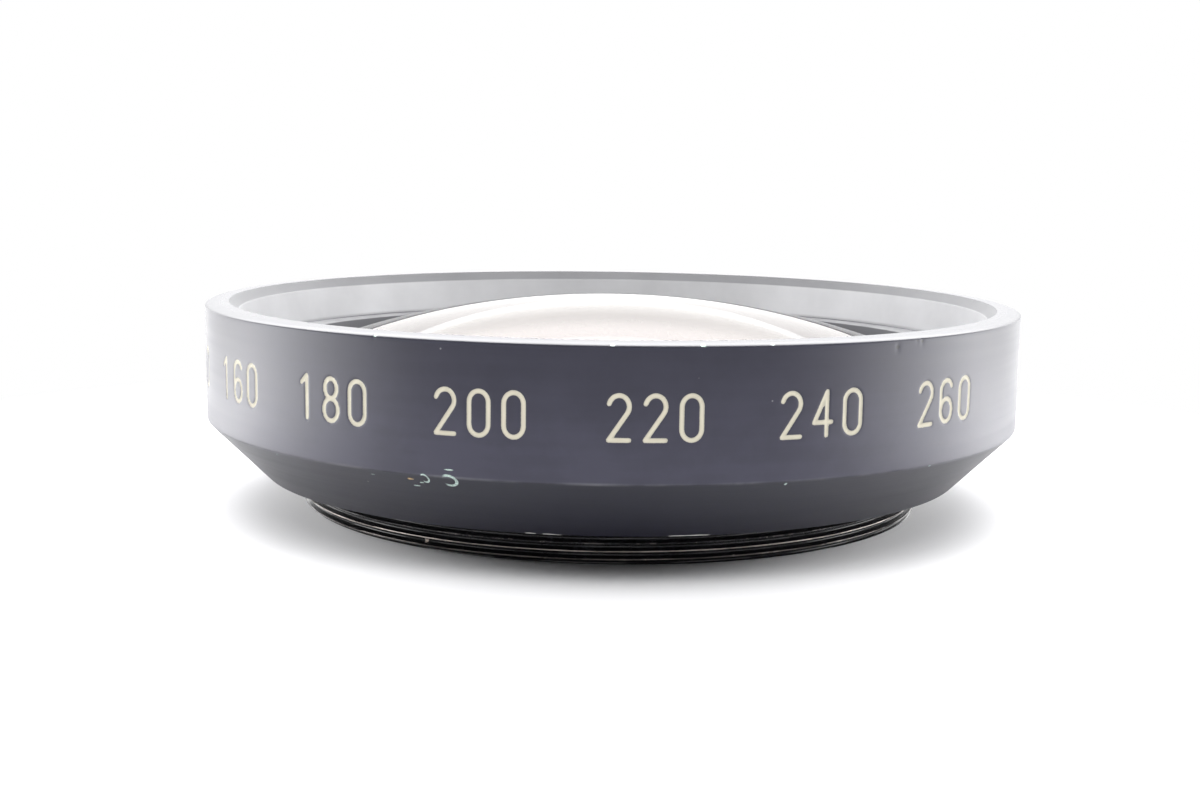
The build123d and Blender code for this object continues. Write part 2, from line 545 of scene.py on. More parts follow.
def slot_columns(azimuth, width, mean_radius):
    """Azimuths with the two slots' edges put in twice, and which columns lie in a slot.

    The slots lie along X, so they are centred on a quarter turn either way. Each
    edge is one column outside the slot and one inside it at the same azimuth.
    """
    half = width / 2 / mean_radius
    middles = np.array([-np.pi / 2, np.pi / 2])
    away = np.abs(azimuth[:, None] - middles).min(axis=1)
    kept = azimuth[away > 1.5 * half]
    edges = (middles[:, None] + [-half, half]).ravel()
    inner = (middles[:, None] + np.linspace(-half, half, 5)).ravel()
    turn = np.concatenate([kept, edges, inner])
    inside = np.concatenate([np.zeros(len(kept) + len(edges)), np.ones(len(inner))])
    # At a slot's first edge the outer column comes first, at its last edge the inner one.
    tie = np.concatenate([np.zeros(len(kept)), [-1, 1, -1, 1], np.zeros(len(inner))])
    order = np.lexsort((tie, np.round(turn, 9)))
    return turn[order], inside[order].astype(bool)


# Numerals


def arc(centre, radii, start, end):
    """Points of an elliptical arc, from one angle to another in degrees."""
    turn = np.radians(np.linspace(start, end, ARC_POINTS))
    return np.array(centre) + np.array(radii) * np.stack([np.cos(turn), np.sin(turn)], 1)


WELL_CLEAR = 1.0    # distance given to points far from any stroke
DIGIT_REACH = 0.6   # to either side of a digit, where its distance is worked out

# Middle lines of the engraver's strokes, one unit wide and two units tall.
DIGIT_STROKES = {
    "0": [np.concatenate([
        arc((0.5, 1.5), (0.5, 0.5), 0, 180), arc((0.5, 0.5), (0.5, 0.5), 180, 360), [[1, 1.5]],
    ])],
    "1": [np.array([[0.1, 1.66], [0.5, 2], [0.5, 0]])],
    "2": [np.concatenate([arc((0.5, 1.5), (0.5, 0.5), 165, -38), [[0, 0], [1, 0]]])],
    "3": [arc((0.48, 1.53), (0.44, 0.47), 150, -90), arc((0.48, 0.53), (0.5, 0.53), 90, -150)],
    "4": [np.array([[1, 0.6], [0, 0.6], [0.72, 2], [0.72, 0]])],
    "5": [np.concatenate([
        [[0.92, 2], [0.12, 2], [0.06, 1.1]], arc((0.45, 0.62), (0.53, 0.62), 125, -150),
    ])],
    "6": [np.concatenate([
        arc((0.5, 1.5), (0.5, 0.5), 25, 180), arc((0.5, 0.56), (0.5, 0.56), 180, 540),
    ])],
    "7": [np.array([[0, 2], [1, 2], [0.3, 0]])],
    "8": [arc((0.5, 1.53), (0.42, 0.47), -90, 270), arc((0.5, 0.53), (0.5, 0.53), 90, 450)],
    "9": [np.concatenate([
        arc((0.5, 0.5), (0.5, 0.5), 205, 360), arc((0.5, 1.44), (0.5, 0.56), 0, 360),
    ])],
}


def stroke_distance(along, up, strokes):
    """Distance from each point to the nearest stroke.

    For each straight piece of a stroke, the nearest point is the foot of the
    perpendicular, held between the two ends.
    """
    start = np.concatenate([stroke[:-1] for stroke in strokes])
    side = np.concatenate([np.diff(stroke, axis=0) for stroke in strokes])
    place = np.stack([along, up], axis=-1)[..., None, :] - start
    share = np.clip((place * side).sum(-1) / (side ** 2).sum(-1), 0, 1)
    return np.linalg.norm(place - share[..., None] * side, axis=-1).min(axis=-1)


def number_places(settings):
    """Each digit of the scale with the azimuth of its left edge."""
    pitch = (settings.digit_width + settings.digit_gap) / MM
    for number in range(settings.number_count):
        text = str(settings.first_number + number * settings.number_step)
        middle = settings.first_azimuth + number * settings.azimuth_step
        width = len(text) * pitch - settings.digit_gap / MM
        for place, digit in enumerate(text):
            yield digit, middle + (place * pitch - width / 2) / HOUSING_R


def engraving_distance(settings, azimuth, height):
    """Signed distance to the edge of the nearest stroke of the scale, negative inside it."""
    stroke = settings.stroke_width / MM
    across = settings.digit_width / MM - stroke
    tall = settings.cap_height / MM - stroke
    away = np.full((len(height), len(azimuth)), WELL_CLEAR)
    up = height[:, None] - settings.base_height / MM - stroke / 2
    rows = np.flatnonzero((up[:, 0] > -WELL_CLEAR) & (up[:, 0] < tall + WELL_CLEAR))
    for digit, left in number_places(settings):
        along = (azimuth - left) * HOUSING_R - stroke / 2
        columns = np.flatnonzero((along > -DIGIT_REACH) & (along < across + DIGIT_REACH))
        strokes = [line * [across, tall / 2] for line in DIGIT_STROKES[digit]]
        field = stroke_distance(*np.broadcast_arrays(along[None, columns], up[rows]), strokes)
        block = np.ix_(rows, columns)
        away[block] = np.minimum(away[block], field - stroke / 2)
    return away


# Wear that the photograph shows: azimuth in degrees, height, half length and half height
RIM_NICKS = (
    (-28.4, 21.34, 0.13, 0.11), (0.1, 21.40, 0.20, 0.07), (10.3, 21.38, 0.24, 0.11),
    (18.5, 21.40, 0.16, 0.05),
)
# The dark colour of these dents is painted shade in their hollows
RIM_DENTS = ((35.6, 20.70, 0.26, 0.18), (39.8, 21.05, 0.20, 0.15), (38.9, 21.12, 0.12, 0.06))
BEVEL_SCRATCHES = (
    (-18.6, 10.18, 0.44, 0.065), (-23.6, 8.24, 0.36, 0.070), (-22.6, 8.66, 0.20, 0.060),
    (-29.2, 8.95, 0.22, 0.050), (20.6, 9.22, 0.14, 0.11), (42.2, 9.46, 0.12, 0.09),
    (-45.6, 9.23, 0.12, 0.09),
)
BRASS_SMEAR = (-23.9, 8.95, 0.34, 0.090)
# Scratches along the bevel's lower corner, painted near white as glints
EDGE_SCRATCH_GLINTS = (
    (-10.7, 3.74, 0.62, 0.050), (-8.1, 3.74, 0.75, 0.050), (-7.1, 3.71, 0.60, 0.045),
    (9.3, 3.74, 1.00, 0.050), (11.9, 3.75, 1.55, 0.050), (12.8, 3.71, 0.60, 0.045),
)
THREAD_NICK = (-31.5, 0.82, 0.30, 0.22)
# Crescents, where something round struck: the width of their line is added
BEVEL_CRESCENTS = ((-18.8, 9.15, 0.74, 0.52, 0.13), (-21.9, 9.16, 0.40, 0.40, 0.09))
# A nick or dent also hollows the metal, this deep and this much taller than its colour
NICK_DEPTH, NICK_STRETCH = 0.07, 1.6
# Heights of the crests that use has worn most
MIDDLE_CREST_Z, LOWEST_CREST_Z = 1.30, 0.55

# Colours of wear and dirt, and of painted shade in dents, a painted highlight and painted glints
CORNER_HIGHLIGHT = (0.15, 0.15, 0.17)
DENT_SHADOW = (0.004, 0.004, 0.005)
DUST = (0.35, 0.35, 0.36)
BRASS = (0.62, 0.42, 0.18)
SCRATCH_GLINT = (0.92, 0.92, 0.88)


# Finishes


def around_mark(place, azimuth, height, half_length, half_height):
    """Offset across a mark and squared distance from its middle, as shares of its half sizes."""
    across = (place.azimuth - radians(azimuth)) * (HOUSING_R / half_length)
    along = (place.z - height * MM) * (1 / half_height / MM)
    return across, across * across + along * along


def spot(place, *mark):
    """1 in the middle of a small worn ellipse, falling to 0 at its edge."""
    _, squared = around_mark(place, *mark)
    return (1.15 - squared).rise(0, 0.5)


def crescent(place, azimuth, height, half_length, half_height, width):
    """1 on the line of a small ellipse, apart from its left side."""
    across, squared = around_mark(place, azimuth, height, half_length, half_height)
    ring = abs(squared.math("SQRT", squared) - 1)
    return (1 - ring * (half_height / width)).rise(0, 0.6) * across.rise(-0.75, -0.2)


def paler(colour, times):
    """A colour made brighter by a factor."""
    return tuple(times * channel for channel in colour)


def satin_anodising(engraving, housing):
    """Satin black anodising with turned lines, cream numerals, dust, nicks and bare metal.

    The colour is laid on in layers: anodising, a bluish lift from handling with painted
    floor light that is strongest at the foot of the wall, a painted highlight on the corner
    above the bevel, painted shade in the dents, dust, paint that is darker towards the edges
    of its strokes, bare metal, the smear, and the scratches on the bevel's lower corner,
    painted bright as glints.
    """
    material, tree = new_material("satin_black_anodising")
    place = Place(tree)
    fine_lines = place.turned_lines(9000, 70)
    broad_lines = place.turned_lines(900, 40, 0.55)
    mottle = place.vector.noise(160.0, 4.0, 0.6)
    grain = place.vector.noise(9000.0, 2.0, 0.6)

    distance = tree.add("Attribute", {"attribute_name": "engraving"}, output="Fac")
    paint = 1 - (distance + (grain - 0.5) * 0.05).rise(-0.015, 0.015)
    # The paint is darker towards the edges of each stroke
    darker_edge = (distance + (mottle - 0.5) * 0.12).rise(-0.16, 0.02)

    # The marks lie on the outside alone, not on the flat underside or in the bores.
    skin = place.radius.rise((UNDERSIDE_R - 0.25) * MM, (UNDERSIDE_R - 0.12) * MM)
    marks = [spot(place, *mark) for mark in RIM_NICKS + BEVEL_SCRATCHES]
    marks += [crescent(place, *mark) for mark in BEVEL_CRESCENTS]
    worn = marks[0]
    for mark in marks[1:]:
        worn = worn.at_least(mark)
    ragged = place.vector.noise(4200.0, 2.0, 0.7) + broad_lines * 0.4
    worn = worn * skin * ragged.rise(0.46, 0.68)

    cells = {"Vector": place.vector, "Scale": 420.0, "Randomness": 1.0}
    speck = 1 - tree.add("TexVoronoi", {}, cells, output="Distance").rise(0.020, 0.045)
    chosen = tree.math("GREATER_THAN", tree.add("TexVoronoi", {}, cells, output="Color"), 0.70)
    dust = speck * chosen

    # A painted highlight along the rounded corner above the bevel, where the light catches it
    corner = 1 - abs(place.z - BEVEL_TOP_Z * MM).rise(0, 0.22 * MM)
    outside = place.radius.rise((HOUSING_R - 0.7) * MM, (HOUSING_R - 0.3) * MM)
    corner_highlight = corner * outside * mottle.rise(0.3, 0.7)

    wall = place.z.rise((BEVEL_TOP_Z - 0.1) * MM, (BEVEL_TOP_Z + 0.1) * MM)
    # A bluish lift from handling, strongest at the foot of the wall as painted light from the
    # bright floor in front
    haze_and_floor_light = wall * (1 - 0.60 * place.z.rise(BEVEL_TOP_Z * MM, RIM_Z * MM))
    haze_and_floor_light = haze_and_floor_light * (0.8 + 0.4 * (mottle * 0.7 + broad_lines * 0.3).rise(0.32, 0.68))
    hazed_and_floor_lit = tuple(a + b for a, b in zip(housing.anodising, housing.haze_and_floor_light))

    colour = haze_and_floor_light.mix(housing.anodising, hazed_and_floor_lit)
    colour = (corner_highlight * 0.6).mix(colour, CORNER_HIGHLIGHT)
    # Painted shade in the hollow of each dent
    for mark in RIM_DENTS:
        colour = (0.8 * spot(place, *mark)).mix(colour, DENT_SHADOW)
    colour = (dust * 0.5).mix(colour, DUST)
    colour = paint.mix(colour, darker_edge.mix(engraving.paint, paler(engraving.paint, 0.72)))
    colour = worn.mix(colour, housing.bare_metal)
    colour = (spot(place, *BRASS_SMEAR) * grain.rise(0.3, 0.6)).mix(colour, BRASS)
    # Scratches on the bevel's lower corner, painted bright as glints
    for mark in EDGE_SCRATCH_GLINTS:
        colour = (skin * spot(place, *mark)).mix(colour, SCRATCH_GLINT)

    rim = place.z.rise((RIM_Z - 0.46) * MM, (RIM_Z - 0.26) * MM)
    roughness = housing.roughness + (broad_lines - 0.5) * 0.10 + (mottle - 0.5) * 0.06
    roughness = roughness - rim * 0.08 + paint * 0.20 - worn * 0.10
    bump = tree.add("Bump", {}, {
        "Strength": 0.35, "Distance": 0.02 * MM,
        "Height": fine_lines * 0.6 + grain * 0.25 + broad_lines * 0.3,
    })
    principled(tree, {
        "Base Color": colour, "Roughness": roughness, "Metallic": worn * 0.6, "Normal": bump,
        "IOR": 1.5,
    })
    return material


def anodising_with_painted_glare(housing):
    """Anodising of the mouth, pale grey from dust and from painted glare, with a soft sheen.

    It is darker on the chamfer, where it has no sheen, and at the foot, as painted shade.
    """
    material, tree = new_material("anodising_with_painted_glare")
    place = Place(tree)
    turned = place.turned_lines(5000, 50)
    mottle = place.vector.noise(160.0, 4.0, 0.6)
    # Darker on the chamfer and at the foot beside the ring: painted shade
    chamfer = place.z.rise((CHAMFER_FOOT_Z - 0.05) * MM, (CHAMFER_FOOT_Z + 0.10) * MM)
    foot = 1 - place.z.rise(RETAINING_TOP_Z * MM, (RETAINING_TOP_Z + 0.35) * MM)
    film_and_painted_light = (0.90 + 0.10 * mottle.rise(0.2, 0.8)) * (1 - 0.55 * chamfer) * (1 - 0.3 * foot)
    sheen = film_and_painted_light * (0.50 - 0.50 * chamfer)
    bump = tree.add("Bump", {}, {"Strength": 0.25, "Distance": 0.02 * MM, "Height": turned})
    principled(tree, {
        "Base Color": film_and_painted_light.mix(housing.anodising, housing.mouth_dust_and_painted_glare),
        "Roughness": 0.55 + (turned - 0.5) * 0.10, "Metallic": sheen, "Normal": bump,
        "IOR": 1.45, "Specular IOR Level": 0.2,
    })
    return material


def dull_anodising(housing):
    """Dull black anodising of the ring that holds the glass, paler on its front face from dust and
    painted light.
    """
    material, tree = new_material("dull_black_anodising")
    place = Place(tree)
    turned = place.turned_lines(7000, 60)
    mottle = place.vector.noise(300.0, 4.0, 0.6)
    # The front face is paled toward the mouth's colour: dust and painted light
    dust_and_painted_light = place.z.rise((RETAINING_TOP_Z - 0.14) * MM, (RETAINING_TOP_Z - 0.04) * MM)
    dust_and_painted_light = dust_and_painted_light * (0.30 + 0.15 * mottle.rise(0.3, 0.7))
    bump = tree.add("Bump", {}, {"Strength": 0.4, "Distance": 0.03 * MM, "Height": turned})
    principled(tree, {
        "Base Color": dust_and_painted_light.mix(housing.ring_colour, housing.mouth_dust_and_painted_glare),
        "Roughness": 0.66 + (turned - 0.5) * 0.15,
        "Normal": bump, "IOR": 1.5, "Specular IOR Level": 0.15,
    })
    return material


def gloss_anodising(mount):
    """Glossy black anodising, with crests that use has worn to a thin bright line."""
    material, tree = new_material("gloss_black_anodising")
    place = Place(tree)
    mottle = place.vector.noise(420.0, 4.0, 0.65)
    grain = place.vector.noise(2600.0, 3.0, 0.6)
    crest = tree.add("Attribute", {"attribute_name": "crest"}, output="Fac")
    middle = 1 - abs(place.z - MIDDLE_CREST_Z * MM).rise(0.08 * MM, 0.60 * MM)
    broken = (mottle + (grain - 0.5) * 0.5).rise(0.50, 0.66)
    lowest = 1 - abs(place.z - LOWEST_CREST_Z * MM).rise(0.08 * MM, 0.40 * MM)
    share = middle * 0.75 + lowest * 0.35 + broken * (0.20 + 0.3 * middle)
    worn = crest.rise(0.55, 0.95) * share.at_most(1)
    chips = crest.rise(0.1, 0.5) * grain.rise(0.66, 0.72) * 0.7
    bare = worn.at_least(chips).at_least(spot(place, *THREAD_NICK))
    turned = place.turned_lines(8000, 60)
    bump = tree.add("Bump", {}, {"Strength": 0.25, "Distance": 0.02 * MM, "Height": turned})
    black = mottle.rise(0.35, 0.7).mix(mount.anodising, paler(mount.anodising, 1.7))
    principled(tree, {
        "Base Color": bare.mix(black, mount.crest_metal),
        "Roughness": 0.20 + (mottle - 0.5) * 0.10 + bare * 0.12,
        "Metallic": bare * 0.8, "Normal": bump, "IOR": 1.5,
    })
    return material


def coated_glass(glass):
    """Clear glass under a coating that is a quarter of a wave of red light thick."""
    material, tree = new_material("coated_glass")
    principled(tree, {
        "Base Color": (0.99, 1.0, 0.995, 1), "Roughness": 0.0, "IOR": glass.refraction,
        "Transmission Weight": 1.0, "Thin Film Thickness": COATING_NANOMETRES,
        "Thin Film IOR": COATING_INDEX,
    })
    return material


def edge_blackening(glass):
    """Matt black paint on the ground edge of the glass."""
    material, tree = new_material("edge_blackening")
    place = Place(tree)
    speckle = place.vector.noise(3000.0, 3.0, 0.6)
    principled(tree, {
        "Base Color": speckle.rise(0.3, 0.7).mix(glass.edge_paint, paler(glass.edge_paint, 1.8)),
        "Roughness": 0.7 + (speckle - 0.5) * 0.2,
    })
    return material


# Pieces


class CONVERSION_LENS_OT_housing(bpy.types.Operator):
    """Turned housing with the painted scale engraved in its wall"""

    bl_idname = "conversion_lens.housing"
    bl_label = "Housing"

    def execute(self, context):
        engraving = context.scene.conversion_lens_engraving
        housing = context.scene.conversion_lens_housing
        band_low = engraving.base_height / MM - FINE_MARGIN
        band_high = band_low + engraving.cap_height / MM + 2 * FINE_MARGIN
        path = outline([
            (MOUTH_R, RIM_Z, RIM_ROUND),
            *rim_crown(),
            (HOUSING_R, band_high, SHARP),
            (HOUSING_R, band_low, SHARP),
            (HOUSING_R, BEVEL_TOP_Z, BEVEL_ROUND),
            (UNDERSIDE_R, UNDERSIDE_Z, UNDERSIDE_ROUND),
            (RECESS_R, UNDERSIDE_Z, FOOT_ROUND),
            (RECESS_R, FLANGE_BOTTOM_Z, SHARP),
            (FLANGE_BORE_R, FLANGE_BOTTOM_Z, EDGE_ROUND),
            (FLANGE_BORE_R, SEAT_Z, EDGE_ROUND),
            (CELL_R, SEAT_Z, SHARP),
            (CELL_R, CELL_THREAD_Z, EDGE_ROUND),
            (CELL_THREAD_R, CELL_THREAD_Z, SHARP),
            (CELL_THREAD_R, RETAINING_TOP_Z - THREAD_LEAD, LEAD_ROUND),
            (MOUTH_FOOT_R, RETAINING_TOP_Z, FOOT_ROUND),
            (CHAMFER_FOOT_R, CHAMFER_FOOT_Z, CHAMFER_ROUND),
        ])
        outer = path[:, 0] > HOUSING_R - OUTER_SKIN
        ahead = np.roll(path, -1, axis=0)
        in_band = (np.minimum(path[:, 1], ahead[:, 1]) > band_low - SAME) & outer
        in_band &= np.maximum(path[:, 1], ahead[:, 1]) < band_high + SAME
        near_rim = outer & (path[:, 1] > band_high - SAME)
        steps = np.where(in_band, FINE_STEP, np.where(near_rim, RIM_STEP, PLAIN_STEP))
        path = divided(path, steps)
        radius, height = path.T
        wide = (engraving.digit_width / MM + 2 * FINE_MARGIN) / HOUSING_R
        zones = [
            (left - FINE_MARGIN / HOUSING_R, left + wide) for _, left in number_places(engraving)
        ]
        zones += [
            (radians(mark[0] - NICK_ZONE), radians(mark[0] + NICK_ZONE))
            for mark in RIM_NICKS + RIM_DENTS
        ]
        azimuth = azimuths(zones, FINE_STEP / HOUSING_R, AROUND_STEP / HOUSING_R)
        distance = engraving_distance(engraving, azimuth, height)
        distance[radius < HOUSING_R - SAME] = WELL_CLEAR
        # A stroke's floor is a parabola across its width, as a ball-nosed cutter leaves it.
        half = engraving.stroke_width / MM / 2
        depth = engraving.depth / MM * np.clip(1 - (1 + np.minimum(distance, 0) / half) ** 2, 0, 1)
        # A nick or dent is a bell curve of the distance from its middle.
        for side, level, half_length, half_height in RIM_NICKS + RIM_DENTS:
            across = (azimuth - radians(side)) * HOUSING_R / half_length
            along = (height - level) / (NICK_STRETCH * half_height)
            dent = NICK_DEPTH * np.exp(-(across[None] ** 2 + along[:, None] ** 2))
            depth += np.where(radius[:, None] > HOUSING_R - OUTER_SKIN, dent, 0)
        in_mouth = (radius < MOUTH_R + SAME) & (height > RETAINING_TOP_Z - SAME)
        piece = turned_piece(
            "housing_turned", radius[:, None] - depth, height[:, None], azimuth[None],
            attributes={"engraving": distance}, row_slot=(in_mouth & np.roll(in_mouth, -1)) * 1,
        )
        fit_piece(
            piece, "housing", "anodised_satin",
            satin_anodising(engraving, housing), anodising_with_painted_glare(housing),
        )
        return {"FINISHED"}


class CONVERSION_LENS_OT_glass(bpy.types.Operator):
    """Ground and coated meniscus with a blackened edge"""

    bl_idname = "conversion_lens.glass"
    bl_label = "Glass"

    def execute(self, context):
        glass = context.scene.conversion_lens_glass
        # Each face is part of a sphere about a point on the axis: the radius at an
        # angle from the axis is the sphere's radius times its sine.
        front_centre = APEX_Z - FRONT_RADIUS
        rear_centre = APEX_Z - GLASS_THICKNESS - REAR_RADIUS
        front = np.linspace(0, np.arcsin(SHOULDER_R / FRONT_RADIUS), FRONT_ROWS)
        rear = np.linspace(np.arcsin(REAR_APERTURE_R / REAR_RADIUS), 0, REAR_ROWS)
        front_rows = np.stack([
            FRONT_RADIUS * np.sin(front), front_centre + FRONT_RADIUS * np.cos(front),
        ], 1)
        rear_rows = np.stack([
            REAR_RADIUS * np.sin(rear), rear_centre + REAR_RADIUS * np.cos(rear),
        ], 1)
        shoulder_z = front_rows[-1, 1]
        seat_z = SEAT_Z + SEAT_LIFT
        rear_rows[0, 1] = seat_z
        edge_rows = np.array([
            (GLASS_R, shoulder_z - GLASS_BEVEL),
            (GLASS_R, seat_z + GLASS_BEVEL),
            (SHOULDER_R, seat_z),
        ])
        rows = np.concatenate([front_rows, edge_rows, rear_rows])
        first_edge = len(front_rows) - 1
        row_slot = np.zeros(len(rows), int)
        row_slot[first_edge:first_edge + len(edge_rows) + 1] = 1
        piece = turned_piece(
            "glass_meniscus", rows[:, :1], rows[:, 1:], even_azimuths(PIECE_TURN)[None],
            closed=False, row_slot=row_slot,
        )
        fit_piece(
            piece, "front_glass", "optical_glass", coated_glass(glass), edge_blackening(glass),
        )
        return {"FINISHED"}


class CONVERSION_LENS_OT_retaining_ring(bpy.types.Operator):
    """Ring with two spanner slots that holds the glass"""

    bl_idname = "conversion_lens.retaining_ring"
    bl_label = "Retaining ring"

    def execute(self, context):
        housing = context.scene.conversion_lens_housing
        azimuth, in_slot = slot_columns(
            even_azimuths(PIECE_TURN), RETAINING_SLOT_WIDTH, RETAINING_SLOT_MIDDLE_R)
        # The land lies on the glass's front sphere, one clearance further out.
        land_centre = APEX_Z - FRONT_RADIUS
        land_r = np.linspace(SHOULDER_R, RETAINING_BORE_R, LAND_ROWS)
        land_z = land_centre + np.sqrt((FRONT_RADIUS + LAND_CLEARANCE) ** 2 - land_r ** 2)
        top = np.where(in_slot, RETAINING_TOP_Z - RETAINING_SLOT_DEPTH, RETAINING_TOP_Z)
        bore_top = RETAINING_BORE_R + (top - land_z[-1]) * RETAINING_BORE_SLOPE
        radius, height = whole_rows([
            *zip(land_r, land_z),
            (bore_top - RETAINING_EDGE * RETAINING_BORE_SLOPE, top - RETAINING_EDGE),
            (bore_top + RETAINING_EDGE, top),
            ((bore_top + RETAINING_R) / 2, top),
            (RETAINING_R - RETAINING_EDGE, top),
            (RETAINING_R, top - RETAINING_EDGE),
            (RETAINING_R, land_z[0]),
        ], azimuth)
        piece = turned_piece("retaining_ring_turned", radius, height, azimuth[None])
        fit_piece(piece, "retaining_ring", "anodised_matte", dull_anodising(housing))
        return {"FINISHED"}


class CONVERSION_LENS_OT_mount_ring(bpy.types.Operator):
    """Rear ring with its right-hand filter thread"""

    bl_idname = "conversion_lens.mount_ring"
    bl_label = "Mount ring"

    def execute(self, context):
        mount = context.scene.conversion_lens_mount
        azimuth, in_slot = slot_columns(
            even_azimuths(THREAD_TURN), MOUNT_SLOT_WIDTH, MOUNT_SLOT_MIDDLE_R)
        slot_z = np.where(in_slot, MOUNT_SLOT_DEPTH, REAR_Z)
        bore_z = np.maximum(slot_z, MOUNT_BORE_CHAMFER)
        bore_r = np.where(in_slot, MOUNT_BORE_R, MOUNT_BORE_R + MOUNT_BORE_CHAMFER)
        # The thread: its crest climbs one pitch per turn to the right, and each
        # flank leans 60 degrees from the axis, down to the root.
        pitch = mount.pitch / MM
        level = np.linspace(REAR_Z, UNDERSIDE_Z, THREAD_ROWS)[:, None]
        turns = azimuth[None] / (2 * np.pi)
        phase = (level - mount.crest_height / MM) / pitch - turns
        off_crest = np.abs(phase - np.round(phase)) * pitch - CREST_HALF_WIDTH * pitch
        flank = np.clip(off_crest * FLANK_SLOPE, 0, THREAD_DEPTH * pitch)
        # The envelope: lead chamfer, crest cylinder, and the slope down to the groove.
        envelope = np.minimum(
            THREAD_R - THREAD_CHAMFER + level, THREAD_R - np.maximum(level - THREAD_LENGTH, 0))
        envelope = np.maximum(envelope, RELIEF_R)
        threaded = level <= THREAD_LENGTH + THREAD_RUNOUT
        thread = np.where(threaded, np.minimum(THREAD_R - flank, envelope), envelope)
        crest = np.clip(1 - off_crest / CREST_BLEND, 0, 1)
        crest *= (thread > THREAD_R - WEAR_DEPTH) & (level > THREAD_CHAMFER - WEAR_LEAD)
        # From the top of the bore down and outwards to the thread, and what lies above it.
        inner = [
            (MOUNT_BORE_R, FLANGE_BOTTOM_Z),
            (MOUNT_BORE_R, FLANGE_BOTTOM_Z - BORE_ROWS[0]),
            (MOUNT_BORE_R, bore_z + BORE_ROWS[1]),
            (MOUNT_BORE_R, bore_z),
            (bore_r, slot_z),
            (MOUNT_SLOT_END_R, slot_z),
            (MOUNT_SLOT_END_R, REAR_Z),
        ]
        spigot = [(SPIGOT_R, UNDERSIDE_Z), (SPIGOT_R, FLANGE_BOTTOM_Z)]
        radius, height = whole_rows([*inner, *zip(thread, level), *spigot], azimuth)
        piece = turned_piece(
            "mount_ring_threaded", radius, height, azimuth[None],
            attributes={"crest": np.pad(crest, ((len(inner), len(spigot)), (0, 0)))},
        )
        fit_piece(piece, "mount_ring", "anodised_gloss", gloss_anodising(mount))
        return {"FINISHED"}


# Stage


def softbox(
    name, place, aim, size, radiance, glints=True, diffuse=True, grade=None, only=None,
):
    """A rectangular lamp at a place, that faces a point and shines at a radiance.

    Its glints and its diffuse light can be left out, a grade shades it by y and z, and
    it can light only one object.
    """
    lamp = bpy.data.lights.new(name, "AREA")
    lamp.shape, (lamp.size, lamp.size_y) = "RECTANGLE", size
    lamp.energy = radiance * POWER_PER_AREA * size[0] * size[1]
    if grade:
        lamp.use_nodes = True
        lamp.node_tree.nodes.clear()
        tree = Nodes(lamp.node_tree)
        point = tree.add("NewGeometry", output="Position")
        y, z = (tree.add("SeparateXYZ", {}, {"Vector": point}, output=axis) for axis in (1, 2))
        glow = tree.add("Emission", {}, {"Strength": grade(y, z)})
        tree.add("OutputLight", {}, {"Surface": glow})
    panel = bpy.data.objects.new(name, lamp)
    bpy.context.scene.collection.objects.link(panel)
    turn = (Vector(aim) - Vector(place)).to_track_quat("-Z", "Y").to_matrix().to_4x4()
    panel.matrix_world = Matrix.Translation(place) @ turn
    panel.visible_camera = panel.visible_transmission = False
    panel.visible_glossy, panel.visible_diffuse = glints, diffuse
    if only:
        receivers = bpy.data.collections.new(f"{name}_receivers")
        receivers.objects.link(only)
        panel.light_linking.receiver_collection = receivers


def side_card_grade(y, z):
    """Dark at the camera's end, full beside the axis, and dimmer beyond it."""
    return y.rise(-0.11, 0) * (1 - 0.62 * y.rise(-0.01, 0.03))


def back_card_grade(y, z):
    """Brighter upwards, fastest between heights of 0.24 and 0.39 m."""
    return 0.42 + z * 4.1 + z.rise(0.24, 0.39) * 2.2


def seen_directly(tree):
    """1 for the rays that show a background: the camera's, and those of metal and glass."""
    rays = [
        tree.add("LightPath", output=f"Is {kind} Ray")
        for kind in ("Camera", "Glossy", "Transmission")
    ]
    return rays[0].at_least(rays[1]).at_least(rays[2])


